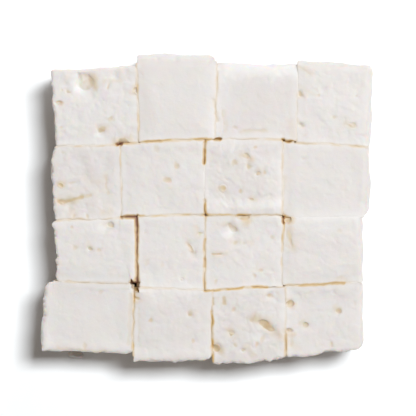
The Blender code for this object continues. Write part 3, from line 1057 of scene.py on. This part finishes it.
def fresh_white_curd():
    """White brined cheese, freshly cut: satin, faintly translucent, ochre and painted shade in its cuts.
    """
    curd = bpy.data.materials.new("fresh_white_curd")
    curd.use_nodes = True
    shader = curd.node_tree.nodes["Principled BSDF"]
    shader.inputs["IOR"].default_value = 1.4
    shader.inputs["Roughness"].default_value = 0.5
    shader.inputs["Subsurface Radius"].default_value = (1.0, 0.6, 0.35)
    shader.inputs["Subsurface Scale"].default_value = 0.8 * MM
    cut, hollow, pale, seam = (
        add(curd, "ShaderNodeAttribute", attribute_name=measure).outputs["Fac"]
        for measure in ("cut", "hollow", "pale", "seam")
    )
    glow = add(curd, "ShaderNodeMapRange", {"Value": seam, "To Min": 1.0, "To Max": 0.1})
    curd.node_tree.links.new(glow.outputs["Result"], shader.inputs["Subsurface Weight"])
    # the cut's colour: whey brown and painted shade that darkens to dark ochre down the cut
    in_cut = add(curd, "ShaderNodeValToRGB", {"Fac": cut})
    in_cut.color_ramp.elements[0].color = srgb("#D4CECA")
    in_cut.color_ramp.elements[1].color = srgb("#8A420A")
    in_cut.color_ramp.elements.new(0.5).color = srgb("#C8A974")
    # whey stain and painted shade in the hollows and marks, multiplied in
    tinted = add(
        curd,
        "ShaderNodeMix",
        {MIX_FACTOR: hollow, MIX_A: in_cut.outputs["Color"], MIX_B: srgb("#F4E2BE")},
        data_type="RGBA",
        blend_type="MULTIPLY",
    )
    # paler patches and painted highlights on the rims and hollow walls facing the light
    layers = {MIX_FACTOR: pale, MIX_A: tinted.outputs[MIX_RESULT], MIX_B: srgb("#E8E7E5")}
    fresh = add(curd, "ShaderNodeMix", layers, data_type="RGBA").outputs[MIX_RESULT]
    place = add(curd, "ShaderNodeNewGeometry").outputs["Position"]
    blotches = add(curd, "ShaderNodeTexNoise", {"Vector": place, "Scale": 1 / (BLOTCH * MM)})
    tint_range = {"Value": blotches.outputs["Fac"], "To Min": 1 - BLOTCH_TINT, "To Max": 1 + BLOTCH_TINT}
    faint = add(curd, "ShaderNodeMapRange", tint_range).outputs["Result"]
    mottled = add(curd, "ShaderNodeVectorMath", {0: fresh, 1: faint}, operation="MULTIPLY")
    curd.node_tree.links.new(mottled.outputs["Vector"], shader.inputs["Base Color"])
    grain_look = {"Vector": place, "Scale": 1 / (GRAIN * MM), "Detail": 3.0, "Roughness": 0.6}
    grain = add(curd, "ShaderNodeTexNoise", grain_look).outputs["Fac"]
    rough = add(curd, "ShaderNodeBump", {"Height": grain, "Distance": GRAIN_HEIGHT * MM})
    curd.node_tree.links.new(rough.outputs["Normal"], shader.inputs["Normal"])
    return curd


curd_finish = fresh_white_curd()
print("nodes in the finish:", len(curd_finish.node_tree.nodes))

# %% [markdown]
# ## Sixteen pieces in one block
# Each sculpted skin takes the place of its plain solid. They all ride on the same body, since
# nothing holds the block together but its own damp curd, and they share one finish.

# %% Place the sixteen cubes
for name, skin in cubes.items():
    skin.materials.clear()
    skin.materials.append(curd_finish)
    cube = put_in_scene(f"curd_{name}", skin)
    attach(cube, "root")
    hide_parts(f"cube_{name}")
print("cubes in place:", len(cubes))

# %% [markdown]
# ## A loose crumb
# One crumb has dropped off the front and lies against the foot of the corner cube. It is a
# small ball of points, flattened and then pulled about by the same random lumps as the rest.

# %% Make the loose crumb
CRUMB_PLACE = (-33.9, -37.7)
CRUMB_SIZE = (3.7, 2.0, 1.6)
CRUMB_LUMPS = ((1.6, 0.30), (0.7, 0.14))
CRUMB_SEED = 6000
# how much of its height the crumb keeps below its middle, where it lies flat
CRUMB_SUNK = 0.4


def loose_crumb():
    """A torn grain of curd, flat where it lies."""
    bm = bmesh.new()
    bmesh.ops.create_icosphere(bm, subdivisions=5, radius=0.5)
    mesh = bpy.data.meshes.new("crumb")
    bm.to_mesh(mesh)
    bm.free()
    points = rows_of(mesh.vertices, "co")
    outward = 2 * points
    points *= CRUMB_SIZE
    points += outward * grains(points, CRUMB_LUMPS, CRUMB_SEED)[:, None]
    points[:, 2] = np.maximum(points[:, 2] + CRUMB_SUNK * CRUMB_SIZE[2], 0)
    points[:, :2] += CRUMB_PLACE
    mesh.vertices.foreach_set("co", (points * MM).astype(np.float32).ravel())
    mesh.shade_smooth()
    mesh.materials.append(curd_finish)
    return mesh


crumb = put_in_scene("crumb", loose_crumb())
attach(crumb, "root")
print("points in the crumb:", len(crumb.data.vertices))

# %% [markdown]
# ## A plain white board
# White cheese is best shown on white: its creamy tone and the tan of its cuts stand out, and
# the only dark is its own shadow. The board is matt, so it mirrors nothing. Far from the
# cheese it curves up like a shallow bowl, so that a low view meets no horizon.

# %% Make the board
SWEEP_FLAT = 0.9
SWEEP_RISE = 1.2
SWEEP_STEPS = 12
SWEEP_SIDES = 128


def sweep():
    """A round white floor whose rim curves up like a bowl."""
    bm = bmesh.new()
    bmesh.ops.create_circle(bm, cap_ends=True, segments=SWEEP_SIDES, radius=SWEEP_FLAT)
    rim = [edge for edge in bm.edges if edge.is_boundary]
    for step in range(1, SWEEP_STEPS + 1):
        turn = step / SWEEP_STEPS * math.pi / 2
        radius = SWEEP_FLAT + SWEEP_RISE * math.sin(turn)
        height = SWEEP_RISE * (1 - math.cos(turn))
        grown = bmesh.ops.extrude_edge_only(bm, edges=rim)["geom"]
        for vert in grown:
            if isinstance(vert, bmesh.types.BMVert):
                vert.co = (*(vert.co.xy.normalized() * radius), height)
        rim = [edge for edge in grown if isinstance(edge, bmesh.types.BMEdge) and edge.is_boundary]
    bmesh.ops.recalc_face_normals(bm, faces=bm.faces)
    mesh = bpy.data.meshes.new("white_sweep")
    bm.to_mesh(mesh)
    bm.free()
    mesh.shade_smooth()
    return mesh


floor_mesh = sweep()
floor = put_in_scene("white_sweep", floor_mesh)
board = bpy.data.materials.new("white_board")
board.use_nodes = True
board_shader = board.node_tree.nodes["Principled BSDF"]
board_shader.inputs["Base Color"].default_value = srgb("#F6F6F6")
board_shader.inputs["Roughness"].default_value = 0.9
floor_mesh.materials.append(board)
print("the board is", round(2 * (SWEEP_FLAT + SWEEP_RISE), 1), "m across")

# %% [markdown]
# ## Light and camera
# Relief a few hundredths of a millimetre deep shows only under one main light. A softbox high
# up at the back right does it: each pit gets a bright and a shaded side, and the block throws
# a soft shadow to the front left. A second, weak one behind lifts the back walls. The faint
# warm world light stands for the walls of the room, and fills the shadow. The camera looks
# straight down from arm's length.

# %% Set up the light
ROOM_COLOUR = (1.0, 0.80, 0.62, 1)
ROOM_STRENGTH = 0.110
# the lamps look at the middle of the block
AIM = (0, 0, 0.01)

scene = bpy.context.scene
scene.view_settings.view_transform = "Standard"
world = bpy.data.worlds.new("studio")
scene.world = world
world.use_nodes = True
room = world.node_tree.nodes["Background"]
room.inputs["Color"].default_value = ROOM_COLOUR
room.inputs["Strength"].default_value = ROOM_STRENGTH


def softbox(name, place, size, watts, colour):
    """A flat soft light at a place, turned to the cheese."""
    lamp = bpy.data.lights.new(name, "AREA")
    lamp.shape = "RECTANGLE"
    lamp.size, lamp.size_y = size
    lamp.energy = watts
    lamp.color = colour
    box = put_in_scene(name, lamp)
    box.location = place
    back = (Vector(place) - Vector(AIM)).normalized()
    side = Vector((0, 1, 0)).cross(back).normalized()
    box.rotation_euler = Matrix((side, back.cross(side), back)).transposed().to_euler()


softbox("key", (0.33, 0.26, 1.22), (0.36, 0.26), 18.1, (0.93, 0.97, 1.0))
softbox("rim", (0.43, 1.07, 0.60), (0.4, 0.4), 2.2, (0.97, 0.98, 1.0))

print("lamps:", len(bpy.data.lights))

# %% [markdown]
# ## Framing the block
# The lens follows from three sizes: the sensor's width, the distance to the tops, and the
# width of the strip of them to be seen. The camera hangs over the middle of the block.

# %% Set up the camera
# the sensor is in millimetres, and the rest in metres
SENSOR = 36
DISTANCE = 0.58
SEEN_WIDTH = 0.104
MIDDLE = (0.00025, 0.000125)

lens = bpy.data.cameras.new("camera")
lens.sensor_width = SENSOR
lens.lens = SENSOR * DISTANCE / SEEN_WIDTH
camera = put_in_scene("camera", lens)
camera.location = (*MIDDLE, cad_high[2] + DISTANCE)
scene.camera = camera
print("the lens is", round(lens.lens), "mm long")
